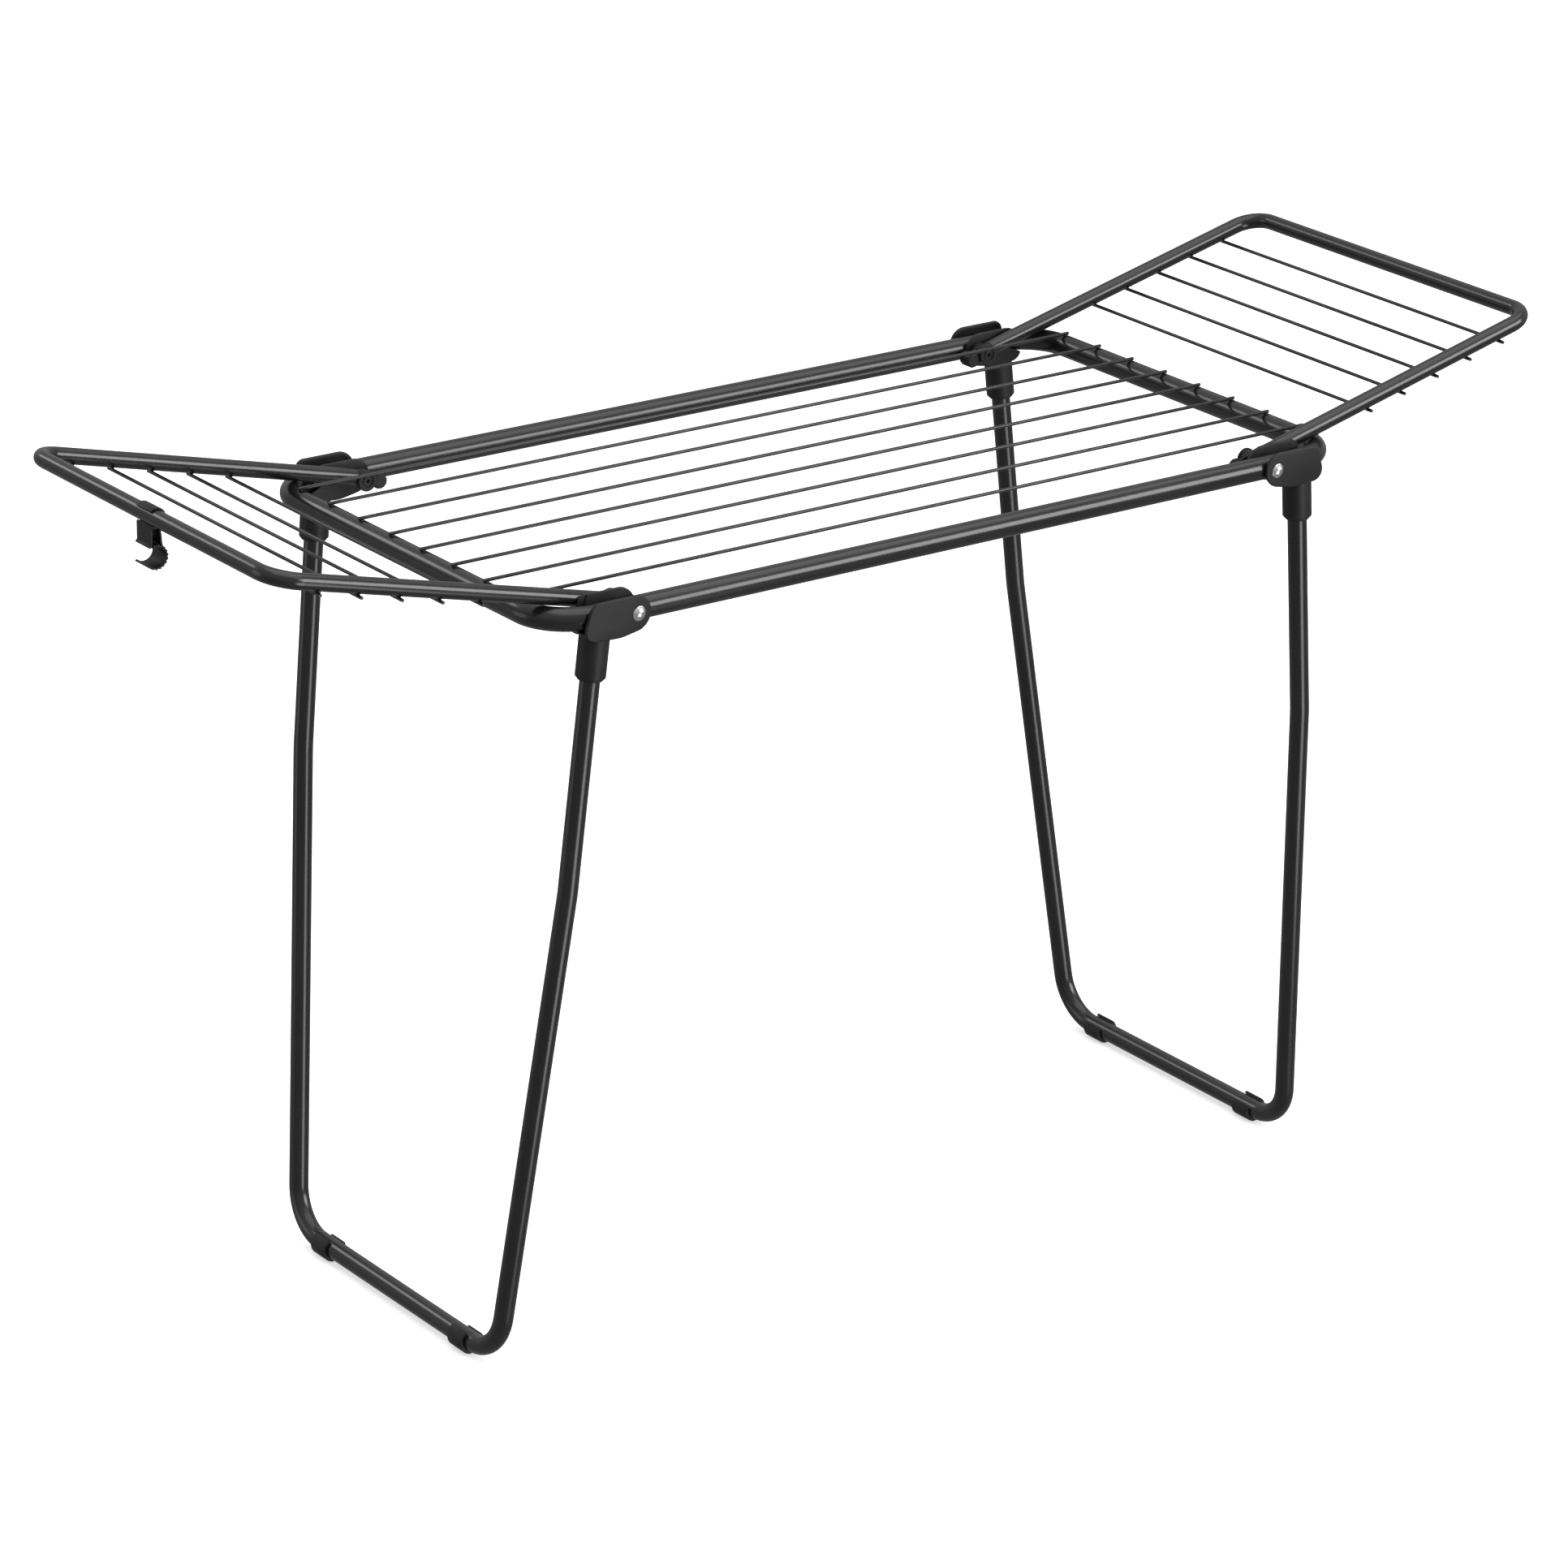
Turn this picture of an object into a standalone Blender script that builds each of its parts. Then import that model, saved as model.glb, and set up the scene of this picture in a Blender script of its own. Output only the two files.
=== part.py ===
"""Folding clothes drying rack: a drying frame on two folding leg frames, with two tilting wings."""
import bpy
import bmesh
from math import asin, atan2, cos, pi, radians, sin, sqrt, tan
from mathutils import Matrix, Vector

# Main frame: a closed bent tube with eight wires on top of its end tubes.
FRAME_LENGTH = 1.054
FRAME_WIDTH = 0.550
FRAME_CORNER_R = 0.055
FRAME_TUBE_R = 0.013
FRAME_TUBE_BORE_R = 0.0118
WIRE_R = 0.002
WIRE_COUNT = 8
WIRE_PITCH = 0.0613
WIRE_LENGTH = 1.061

# Leg frames: each a bent tube with a crossbar on the floor.
PIVOT_X = 0.429
CROSSBAR_X = 0.5532
CROSSBAR_Z = 0.0142
RISE = 0.855
LEG_TUBE_R = 0.011
LEG_TUBE_BORE_R = 0.0098
LEG_CORNER_R = 0.055
LEG_BEND_R = 0.15
LEG_HALF_FOOT = 0.206
LEG_BEND_UP = 0.552
LEG_FLARE = 0.034
SPLAY = radians(5.516)
LEG_OFFSET = CROSSBAR_X - PIVOT_X - RISE * tan(SPLAY)
LEG_SLANT = RISE / cos(SPLAY)
SOCKET_START = 0.0285
FRAME_Z = CROSSBAR_Z + RISE

# Brackets: two cheeks either side of the frame tube, over a socket for the leg.
SLOT_HALF = 0.0133
CHEEK_FACE = 0.0175
SLEEVE_R = 0.0165
SLEEVE_END = 0.0686
RIVET_R = 0.0030
RIVET_HOLE_R = 0.0033

# Wings: each a bent tube with five cross wires under its arms.
WING_Y = 0.2474
WING_REACH = 0.4100
WING_LIFT = 0.1014
WING_TUBE_R = 0.0092
WING_TUBE_BORE_R = 0.0080
WING_RAISE = 0.0010
WING_CORNER_R = 0.031
WING_TUBE_START = 0.0108
WING_WIRES = 5
WING_WIRE_FIRST = 0.0525
WING_WIRE_PITCH = 0.050
WING_WIRE_HALF = 0.2555
BOSS_R = 0.0105
BOSS_FACE = 0.0125
BLIND_WALL = 0.0030
WING_SLOPE = atan2(WING_LIFT, WING_REACH)
WING_ARM = sqrt(WING_REACH ** 2 + WING_LIFT ** 2)

# Feet, hook and the gap left between pieces that touch.
FOOT_Y = 0.1418
FOOT_LENGTH = 0.028
FOOT_R = 0.0150
HOOK_WIDTH = 0.029
HOOK_STRAP = 0.0020
HOOK_BAND_R = 0.0105
GAP = 0.0003

# The hook sticks out past the left wing; this centres the whole rack on the origin.
CENTRE_X = 0.000809


def clear_scene():
    for item in list(bpy.data.objects):
        bpy.data.objects.remove(item, do_unlink=True)


def material(name, colour, roughness, metallic):
    made = bpy.data.materials.new(name)
    made.use_nodes = True
    shader = made.node_tree.nodes["Principled BSDF"]
    shader.inputs["Base Color"].default_value = (*colour, 1.0)
    shader.inputs["Roughness"].default_value = roughness
    shader.inputs["Metallic"].default_value = metallic
    return made


def coated_tube_material(name):
    return material(name, (0.022, 0.022, 0.024), 0.36, 0.35)


def black_plastic_material(name):
    return material(name, (0.018, 0.018, 0.019), 0.55, 0.0)


def polished_steel_material(name):
    return material(name, (0.72, 0.72, 0.73), 0.16, 1.0)


def mesh_from(bm, name):
    mesh = bpy.data.meshes.new(name)
    bm.to_mesh(mesh)
    bm.free()
    return mesh


def smooth(mesh, angle=35.0):
    """Shade smooth, keeping edges sharper than the angle crisp."""
    mesh.polygons.foreach_set("use_smooth", [True] * len(mesh.polygons))
    mesh.set_sharp_from_angle(angle=radians(angle))
    mesh.update()
    return mesh


def carve(base, adds, cuts, name):
    """Join and cut closed meshes with exact booleans and return the one mesh left."""
    helpers = []
    target = bpy.data.objects.new("work", base)
    bpy.context.scene.collection.objects.link(target)
    for mesh, operation in [(m, "UNION") for m in adds] + [(m, "DIFFERENCE") for m in cuts]:
        tool = bpy.data.objects.new("tool", mesh)
        bpy.context.scene.collection.objects.link(tool)
        tool.hide_render = True
        tool.display_type = "WIRE"
        step = target.modifiers.new("step", "BOOLEAN")
        step.operation = operation
        step.solver = "EXACT"
        step.object = tool
        helpers.append(tool)
    shaped = target.evaluated_get(bpy.context.evaluated_depsgraph_get())
    result = bpy.data.meshes.new_from_object(shaped)
    for item in [target] + helpers:
        bpy.data.objects.remove(item, do_unlink=True)
    bm = bmesh.new()
    bm.from_mesh(result)
    bmesh.ops.remove_doubles(bm, verts=bm.verts, dist=0.00001)
    bmesh.ops.dissolve_limit(bm, angle_limit=radians(0.5), verts=bm.verts, edges=bm.edges)
    bmesh.ops.triangulate(bm, faces=bm.faces)
    bmesh.ops.recalc_face_normals(bm, faces=bm.faces)
    return mesh_from(bm, name)


def turned(profile, sides, name, matrix=None):
    """Solid of revolution about local Z from (radius, height) points, closed at both ends."""
    bm = bmesh.new()
    rings = []
    for radius, height in profile:
        ring = [bm.verts.new((radius * cos(2 * pi * k / sides), radius * sin(2 * pi * k / sides), height))
                for k in range(sides)]
        rings.append(ring)
    for low, high in zip(rings, rings[1:]):
        for k in range(sides):
            bm.faces.new((low[k], low[(k + 1) % sides], high[(k + 1) % sides], high[k]))
    bm.faces.new(list(reversed(rings[0])))
    bm.faces.new(rings[-1])
    bmesh.ops.recalc_face_normals(bm, faces=bm.faces)
    if matrix is not None:
        bm.transform(matrix)
    return mesh_from(bm, name)


def rod(radius, start, end, sides, name):
    """Plain cylinder between two points."""
    line = Vector(end) - Vector(start)
    turn = line.to_track_quat("Z", "X").to_matrix().to_4x4()
    place = Matrix.Translation(Vector(start)) @ turn
    return turned([(radius, 0.0), (radius, line.length)], sides, name, place)


def prism(outline, y_low, y_high, name, rim=0.0):
    """Extrude an X-Z outline along Y, with an optional rounded rim."""
    bm = bmesh.new()
    near = [bm.verts.new((x, y_low, z)) for x, z in outline]
    cap = bm.faces.new(near)
    grown = bmesh.ops.extrude_face_region(bm, geom=[cap])
    far = [item for item in grown["geom"] if isinstance(item, bmesh.types.BMVert)]
    bmesh.ops.translate(bm, verts=far, vec=(0.0, y_high - y_low, 0.0))
    bmesh.ops.recalc_face_normals(bm, faces=bm.faces)
    if rim > 0.0:
        edges = [e for e in bm.edges if abs(e.verts[0].co.y - e.verts[1].co.y) < 0.000001]
        bmesh.ops.bevel(bm, geom=edges, offset=rim, offset_type="OFFSET", segments=2, profile=0.5,
                        affect="EDGES", material=-1)
    return mesh_from(bm, name)


def hull(circles, steps=40):
    """Outline of a belt drawn tight around (x, z, radius) circles."""
    points = []
    for x, z, radius in circles:
        points += [(x + radius * cos(2 * pi * k / steps), z + radius * sin(2 * pi * k / steps))
                   for k in range(steps)]
    points = sorted(points)
    sides = []
    for order in (points, list(reversed(points))):
        chain = []
        for p in order:
            while len(chain) > 1:
                a, b = chain[-2], chain[-1]
                if (b[0] - a[0]) * (p[1] - a[1]) - (b[1] - a[1]) * (p[0] - a[0]) > 0.0000000001:
                    break
                chain.pop()
            chain.append(p)
        sides += chain[:-1]
    return sides


def arc(cx, cz, radius, start, end, steps):
    """Points on an arc in degrees, end points included."""
    turns = [radians(start + (end - start) * k / steps) for k in range(steps + 1)]
    return [(cx + radius * cos(a), cz + radius * sin(a)) for a in turns]


def filleted(corners, closed, steps):
    """Points and directions along a flat path whose (u, v, radius) corners are rounded."""
    path = []
    count = len(corners)
    for k, (u, v, radius) in enumerate(corners):
        here = Vector((u, v))
        if not closed and k in (0, count - 1):
            other = Vector(corners[1][:2]) if k == 0 else Vector(corners[-2][:2])
            along = (other - here) if k == 0 else (here - other)
            path.append((here, along.normalized()))
            continue
        back = (Vector(corners[k - 1][:2]) - here).normalized()
        ahead = (Vector(corners[(k + 1) % count][:2]) - here).normalized()
        half = back.angle(ahead) / 2
        centre = here + (back + ahead).normalized() * radius / sin(half)
        first = here + back * radius / tan(half) - centre
        swing = pi - 2 * half
        sense = 1.0 if back.cross(ahead) < 0 else -1.0
        marks = max(2, round(steps * swing / (pi / 2)))
        for m in range(marks + 1):
            turn = Matrix.Rotation(sense * swing * m / marks, 2)
            spoke = turn @ first
            along = Vector((-spoke.y, spoke.x)) * sense
            path.append((centre + spoke, along.normalized()))
    return path


def pipe(path, place, outer, bore, sides, closed, name):
    """Hollow tube along a flat path; place maps (u, v, height) into the piece's own axes."""
    bm = bmesh.new()
    walls = []
    for radius in (outer, bore):
        rings = []
        for point, along in path:
            side = Vector((along.y, -along.x))
            ring = []
            for k in range(sides):
                a = 2 * pi * k / sides
                flat = point + side * radius * cos(a)
                ring.append(bm.verts.new(place(flat.x, flat.y, radius * sin(a))))
            rings.append(ring)
        walls.append(rings)
    count = len(path)
    last = count if closed else count - 1
    for wall, rings in enumerate(walls):
        for k in range(last):
            here, there = rings[k], rings[(k + 1) % count]
            for m in range(sides):
                n = (m + 1) % sides
                face = [here[m], here[n], there[n], there[m]]
                bm.faces.new(face if wall == 0 else face[::-1])
    if not closed:
        for end in (0, -1):
            for m in range(sides):
                n = (m + 1) % sides
                face = [walls[0][end][m], walls[1][end][m], walls[1][end][n], walls[0][end][n]]
                bm.faces.new(face if end == 0 else face[::-1])
    if bm.calc_volume(signed=True) < 0:
        bmesh.ops.reverse_faces(bm, faces=bm.faces)
    return mesh_from(bm, name)


def mirrored_y(mesh, name):
    bm = bmesh.new()
    bm.from_mesh(mesh)
    bmesh.ops.scale(bm, vec=(1.0, -1.0, 1.0), verts=bm.verts)
    bmesh.ops.reverse_faces(bm, faces=bm.faces)
    return mesh_from(bm, name)


def add(name, mesh, stuff, parent=None, location=(0.0, 0.0, 0.0)):
    """Own object of a mesh, which may be shared, with a material of its own."""
    item = bpy.data.objects.new(name, mesh)
    bpy.context.scene.collection.objects.link(item)
    item.location = Vector(location) + Vector((0.0 if parent else CENTRE_X, 0.0, 0.0))
    item.parent = parent
    if not mesh.materials:
        mesh.materials.append(None)
    item.material_slots[0].link = "OBJECT"
    item.material_slots[0].material = stuff(name + "_finish")
    return item


def pivot(name, x, turn):
    """Empty on a hinge axis; the right-hand one is the left-hand one turned about Z."""
    empty = bpy.data.objects.new(name, None)
    bpy.context.scene.collection.objects.link(empty)
    empty.location = (x + CENTRE_X, 0.0, FRAME_Z)
    empty.rotation_euler = (0.0, 0.0, turn)
    return empty


def frame_mesh():
    half_l = FRAME_LENGTH / 2
    half_w = FRAME_WIDTH / 2
    r = FRAME_CORNER_R
    corners = [(-half_l, -half_w, r), (half_l, -half_w, r), (half_l, half_w, r), (-half_l, half_w, r)]
    loop = pipe(filleted(corners, True, 8), lambda u, v, w: Vector((u, v, w)),
                FRAME_TUBE_R, FRAME_TUBE_BORE_R, 20, True, "frame_loop")
    cuts = [rod(RIVET_HOLE_R, (x, -0.3, 0.0), (x, 0.3, 0.0), 16, "rivet_cut") for x in (-PIVOT_X, PIVOT_X)]
    return smooth(carve(loop, [], cuts, "main_frame_tube"))


def wire_mesh(length, along_x, name):
    end = Vector((length / 2, 0.0, 0.0)) if along_x else Vector((0.0, length / 2, 0.0))
    return smooth(rod(WIRE_R, -end, end, 12, name))


def leg_point(v, y, w):
    """Leg frame plane: v up the leg from the crossbar, w square to it, about the hinge axis."""
    x = PIVOT_X - CROSSBAR_X + sin(SPLAY) * v - cos(SPLAY) * w
    z = cos(SPLAY) * v + sin(SPLAY) * w - RISE
    return Vector((x, y, z))


def leg_mesh():
    top = LEG_SLANT - SOCKET_START
    half = FRAME_WIDTH / 2
    top_y = half - LEG_FLARE * SOCKET_START
    bend_y = half - LEG_FLARE * (LEG_SLANT - LEG_BEND_UP)
    side = [(top, top_y, 0.0), (LEG_BEND_UP, bend_y, LEG_BEND_R), (0.0, LEG_HALF_FOOT, LEG_CORNER_R)]
    corners = [(v, -y, r) for v, y, r in side] + [(v, y, r) for v, y, r in reversed(side)]
    return smooth(pipe(filleted(corners, False, 9), leg_point, LEG_TUBE_R, LEG_TUBE_BORE_R, 16, False,
                       "leg_frame_tube"))


def bend_notch():
    """What the inner cheek's heel leaves free, so that it drops clear of the frame tube's corner bend."""
    start = PIVOT_X - FRAME_LENGTH / 2 + FRAME_CORNER_R
    inside = FRAME_CORNER_R - SLOT_HALF
    under = []
    for k in range(7):
        past = 0.004 * k
        reach = FRAME_CORNER_R - sqrt(inside ** 2 + past ** 2)
        under.append((start - past, -sqrt((SLOT_HALF + GAP) ** 2 - reach ** 2) - 2 * GAP))
    return list(reversed(under)) + [(start + 0.0025, 0.0), (start + 0.0025, 0.1), (under[-1][0], 0.1)]


def bracket_mesh():
    """Front left bracket about its rivet; the cheek at low Y is the outer one."""
    outline = hull([(-0.0045, 0.0, 0.020), (-0.055, 0.010, 0.010), (-0.053, -0.011, 0.0125)])
    body = prism(outline, -CHEEK_FACE, CHEEK_FACE, "bracket_body", 0.0012)
    down = Vector((-sin(SPLAY), LEG_FLARE, -cos(SPLAY))).normalized()
    start = Vector((-LEG_OFFSET, 0.0, 0.0))
    turn = down.to_track_quat("Z", "X").to_matrix().to_4x4()
    place = Matrix.Translation(start) @ turn
    end = SLEEVE_END
    sleeve = turned([(SLEEVE_R, 0.006), (SLEEVE_R, end - 0.0045), (SLEEVE_R - 0.0004, end - 0.0030),
                     (SLEEVE_R - 0.0014, end - 0.0018), (0.0140, end - 0.0012), (0.0138, end)],
                    24, "bracket_sleeve", place)
    slot = prism([(-0.2, -SLOT_HALF - GAP), (-0.0170, -SLOT_HALF - GAP), (-0.0215, -0.06), (0.1, -0.06),
                  (0.1, 0.1), (-0.2, 0.1)], -SLOT_HALF, SLOT_HALF, "slot_cut")
    notch = prism(bend_notch(), SLOT_HALF - 0.001, 0.03, "notch_cut")
    bore = rod(LEG_TUBE_R + GAP, start + down * (SOCKET_START - GAP), start + down * 0.09, 24, "bore_cut")
    hole = rod(RIVET_HOLE_R, (0.0, -0.03, 0.0), (0.0, 0.03, 0.0), 16, "hole_cut")
    return carve(body, [sleeve], [slot, notch, bore, hole], "leg_bracket")


def foot_mesh():
    """Clip on the crossbar, flat underneath, open at the top on the side away from the end."""
    sole = 180 * asin(CROSSBAR_Z / FOOT_R) / pi
    outer = arc(0.0, 0.0, FOOT_R, 120, 180 + sole, 10) + arc(0.0, 0.0, FOOT_R, 360 - sole, 380, 8)
    inner = arc(0.0, 0.0, LEG_TUBE_R + GAP, 380, 120, 22)
    return smooth(prism(outer + inner, -FOOT_LENGTH / 2, FOOT_LENGTH / 2, "crossbar_foot"), 30)


def rivet_mesh():
    """Domed head outside and a plain shank that ends inside the wing's boss; about the frame tube's axis."""
    head = FRAME_WIDTH / 2 - WING_Y
    tip = head + BOSS_FACE - BLIND_WALL - 2 * GAP
    face = -CHEEK_FACE - GAP
    dome = [(0.0080 * sin(radians(a)), face - 0.0038 * cos(radians(a))) for a in (4, 20, 38, 56, 74, 90)]
    profile = dome + [(RIVET_R, face), (RIVET_R, tip - 0.0008), (RIVET_R - 0.0008, tip)]
    turn = Matrix.Rotation(radians(-90.0), 4, "X")
    return smooth(turned(profile, 20, "rivet", turn), 30)


def wing_point(s, y, w):
    """Wing plane: s out along the arm from the hinge axis, w square to it, above the arms' axis."""
    x = -cos(WING_SLOPE) * s + sin(WING_SLOPE) * (w + WING_RAISE)
    z = sin(WING_SLOPE) * s + cos(WING_SLOPE) * (w + WING_RAISE)
    return Vector((x, y, z))


def wing_mesh():
    start = (WING_TUBE_START, WING_Y, 0.0)
    corner = (WING_ARM, WING_Y, WING_CORNER_R)
    corners = [(s, -y, r) for s, y, r in (start, corner)] + [corner, start]
    return smooth(pipe(filleted(corners, False, 8), wing_point, WING_TUBE_R, WING_TUBE_BORE_R, 16, False,
                       "wing_frame_tube"))


def wing_end_mesh():
    """Front left wing end about the rivet; low Y is the side against the bracket."""
    turn = Matrix.Rotation(radians(-90.0), 4, "X")
    boss = turned([(BOSS_R, -0.0098), (BOSS_R, BOSS_FACE), (0.0074, BOSS_FACE), (0.0072, BOSS_FACE - 0.0012),
                   (0.0056, BOSS_FACE - 0.0012), (0.0054, BOSS_FACE)], 24, "boss", turn)
    place = Matrix.Translation((0.0, 0.0, WING_RAISE)) @ Matrix.Rotation(radians(-90.0), 4, "Y")
    plug = turned([(0.0088, 0.004), (0.0094, 0.0085), (0.0094, 0.0105), (0.0077, 0.0105), (0.0077, 0.032),
                   (0.0066, 0.034)], 20, "plug", place)
    neck = prism([(0.004, -0.0058), (0.018, -0.0050), (0.018, 0.0050), (0.004, 0.0058)],
                 -0.0075, 0.0075, "neck")
    ribs = [(0.0195 + (0.0084 + 0.0006 * (k % 4 in (1, 2))) * cos(pi * k / 24),
             (0.0084 + 0.0006 * (k % 4 in (1, 2))) * sin(pi * k / 24)) for k in range(48)]
    nose = prism(ribs, -0.0092, 0.0092, "nose")
    hole = rod(RIVET_HOLE_R, (0.0, -0.03, 0.0), (0.0, BOSS_FACE - BLIND_WALL, 0.0), 16, "hole_cut")
    vent = rod(0.0016, (0.0, 0.0, 0.0), (0.0, 0.03, 0.0), 12, "vent_cut")
    mesh = carve(boss, [plug, neck, nose], [hole, vent], "wing_end")
    mesh.transform(Matrix.Rotation(WING_SLOPE, 4, "Y"))
    return mesh


def strip(points, thickness):
    """Outline of a strip of even thickness along a centre line."""
    left = []
    right = []
    for k, (x, z) in enumerate(points):
        before = Vector(points[max(k - 1, 0)])
        after = Vector(points[min(k + 1, len(points) - 1)])
        along = (after - before).normalized()
        left.append((x - along.y * thickness / 2, z + along.x * thickness / 2))
        right.append((x + along.y * thickness / 2, z - along.x * thickness / 2))
    return left + right[::-1]


def hook_mesh():
    """A band sprung over the wing's outer tube, with a lipped plate and an arm with a clip under it."""
    band = prism(strip(arc(0.0, 0.0, HOOK_BAND_R, -130, 132, 26), HOOK_STRAP), -HOOK_WIDTH / 2, HOOK_WIDTH / 2,
                 "hook_band")
    plate = prism(strip([(-0.0092, -0.0312), (-0.0073, -0.0296), (-0.0063, -0.0270), (-0.0062, -0.0095)],
                        HOOK_STRAP), -HOOK_WIDTH / 2, HOOK_WIDTH / 2, "hook_plate")
    arm = prism(strip([(0.0034, -0.0100), (0.0043, -0.0162), (0.0058, -0.0305)], HOOK_STRAP), -HOOK_WIDTH / 2,
                HOOK_WIDTH / 2, "hook_arm")
    outer = []
    for k in range(41):
        turn = radians(116 - 255 * k / 40)
        radius = 0.0134 + 0.0005 * (k % 4 in (1, 2))
        outer.append((-0.0006 + radius * cos(turn), -0.0424 + radius * sin(turn)))
    inner = arc(-0.0006, -0.0424, 0.0112, -139, 116, 28)
    clip = prism(outer + inner, -HOOK_WIDTH / 2, HOOK_WIDTH / 2, "hook_clip")
    return smooth(carve(band, [plate, arm, clip], [], "wing_hook"), 30)


def build_main_frame():
    add("main_frame_tube", frame_mesh(), coated_tube_material, None, (0.0, 0.0, FRAME_Z))
    wire = wire_mesh(WIRE_LENGTH, True, "main_wire")
    height = FRAME_Z + FRAME_TUBE_R + WIRE_R + GAP
    for k in range(WIRE_COUNT):
        y = (k - (WIRE_COUNT - 1) / 2) * WIRE_PITCH
        add("main_wire_%d" % (k + 1), wire, coated_tube_material, None, (0.0, y, height))
    front = rivet_mesh()
    back = smooth(mirrored_y(front, "rivet_back"), 30)
    for side, x in (("left", -PIVOT_X), ("right", PIVOT_X)):
        for end, mesh, y in (("front", front, -FRAME_WIDTH / 2), ("back", back, FRAME_WIDTH / 2)):
            add("rivet_%s_%s" % (side, end), mesh, polished_steel_material, None, (x, y, FRAME_Z))


def build_legs():
    tube = leg_mesh()
    low = smooth(bracket_mesh(), 30)
    high = smooth(mirrored_y(low, "leg_bracket_high"), 30)
    foot = foot_mesh()
    for side, x, turn in (("left", -PIVOT_X, 0.0), ("right", PIVOT_X, pi)):
        hinge = pivot(side + "_legs", x, turn)
        add(side + "_leg_tube", tube, coated_tube_material, hinge)
        for sign, mesh in ((-1, low), (1, high)):
            end = "front" if sign * cos(turn) < 0 else "back"
            add("%s_leg_bracket_%s" % (side, end), mesh, black_plastic_material, hinge,
                (0.0, sign * FRAME_WIDTH / 2, 0.0))
            add("%s_foot_%s" % (side, end), foot, black_plastic_material, hinge,
                (PIVOT_X - CROSSBAR_X, sign * FOOT_Y, -RISE))


def build_wings():
    tube = wing_mesh()
    wire = wire_mesh(2 * WING_WIRE_HALF, False, "wing_wire")
    low = smooth(wing_end_mesh(), 30)
    high = smooth(mirrored_y(low, "wing_end_high"), 30)
    for side, x, turn in (("left", -PIVOT_X, 0.0), ("right", PIVOT_X, pi)):
        hinge = pivot(side + "_wing", x, turn)
        add(side + "_wing_tube", tube, coated_tube_material, hinge)
        for k in range(WING_WIRES):
            s = WING_ARM - WING_WIRE_FIRST - WING_WIRE_PITCH * k
            spot = wing_point(s, 0.0, -WING_TUBE_R - WIRE_R - GAP)
            add("%s_wing_wire_%d" % (side, k + 1), wire, coated_tube_material, hinge, spot)
        for sign, mesh in ((-1, low), (1, high)):
            end = "front" if sign * cos(turn) < 0 else "back"
            add("%s_wing_end_%s" % (side, end), mesh, black_plastic_material, hinge,
                (0.0, sign * WING_Y, 0.0))


def build_hook():
    spot = wing_point(WING_ARM, 0.0, 0.0) + Vector((-PIVOT_X, 0.0, FRAME_Z))
    add("wing_hook", hook_mesh(), black_plastic_material, None, spot)


def main():
    clear_scene()
    build_main_frame()
    build_legs()
    build_wings()
    build_hook()


main()
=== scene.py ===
"""Folding clothes drying rack in satin black steel tube, wire and moulded plastic."""

from math import asin, atan2, cos, degrees, hypot, pi, radians, sin, tan

import bmesh
import bpy
from mathutils import Matrix, Vector


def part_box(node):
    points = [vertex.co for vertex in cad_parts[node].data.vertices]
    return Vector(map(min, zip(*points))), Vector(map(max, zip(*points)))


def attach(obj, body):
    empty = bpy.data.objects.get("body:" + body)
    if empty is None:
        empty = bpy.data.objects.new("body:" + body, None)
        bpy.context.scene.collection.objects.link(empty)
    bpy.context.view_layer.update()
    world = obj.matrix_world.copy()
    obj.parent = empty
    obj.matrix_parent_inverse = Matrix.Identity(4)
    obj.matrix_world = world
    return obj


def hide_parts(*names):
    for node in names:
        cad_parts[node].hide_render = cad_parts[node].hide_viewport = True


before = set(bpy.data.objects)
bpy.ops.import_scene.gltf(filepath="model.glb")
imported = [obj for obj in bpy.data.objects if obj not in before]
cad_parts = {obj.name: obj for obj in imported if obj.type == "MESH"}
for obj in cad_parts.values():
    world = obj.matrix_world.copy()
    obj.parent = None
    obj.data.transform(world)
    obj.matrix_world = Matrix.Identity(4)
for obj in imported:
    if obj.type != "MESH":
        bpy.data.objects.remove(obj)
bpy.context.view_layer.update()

# Drying frame. One steel tube, bent at four corners and butt welded into a closed loop, then powder
# coated satin black. The wires are welded across it and everything else is riveted to it.
along_x, along_y, up = Vector((1, 0, 0)), Vector((0, 1, 0)), Vector((0, 0, 1))
frame_low, frame_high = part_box("main_frame_tube")
frame_mid = (frame_low + frame_high) / 2
frame_r = (frame_high.z - frame_low.z) / 2
frame_half_long = frame_high.x - frame_mid.x - frame_r
frame_half_wide = frame_high.y - frame_mid.y - frame_r
frame_corner_r = 0.055
gap = 0.0003        # running clearance between two pieces


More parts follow.
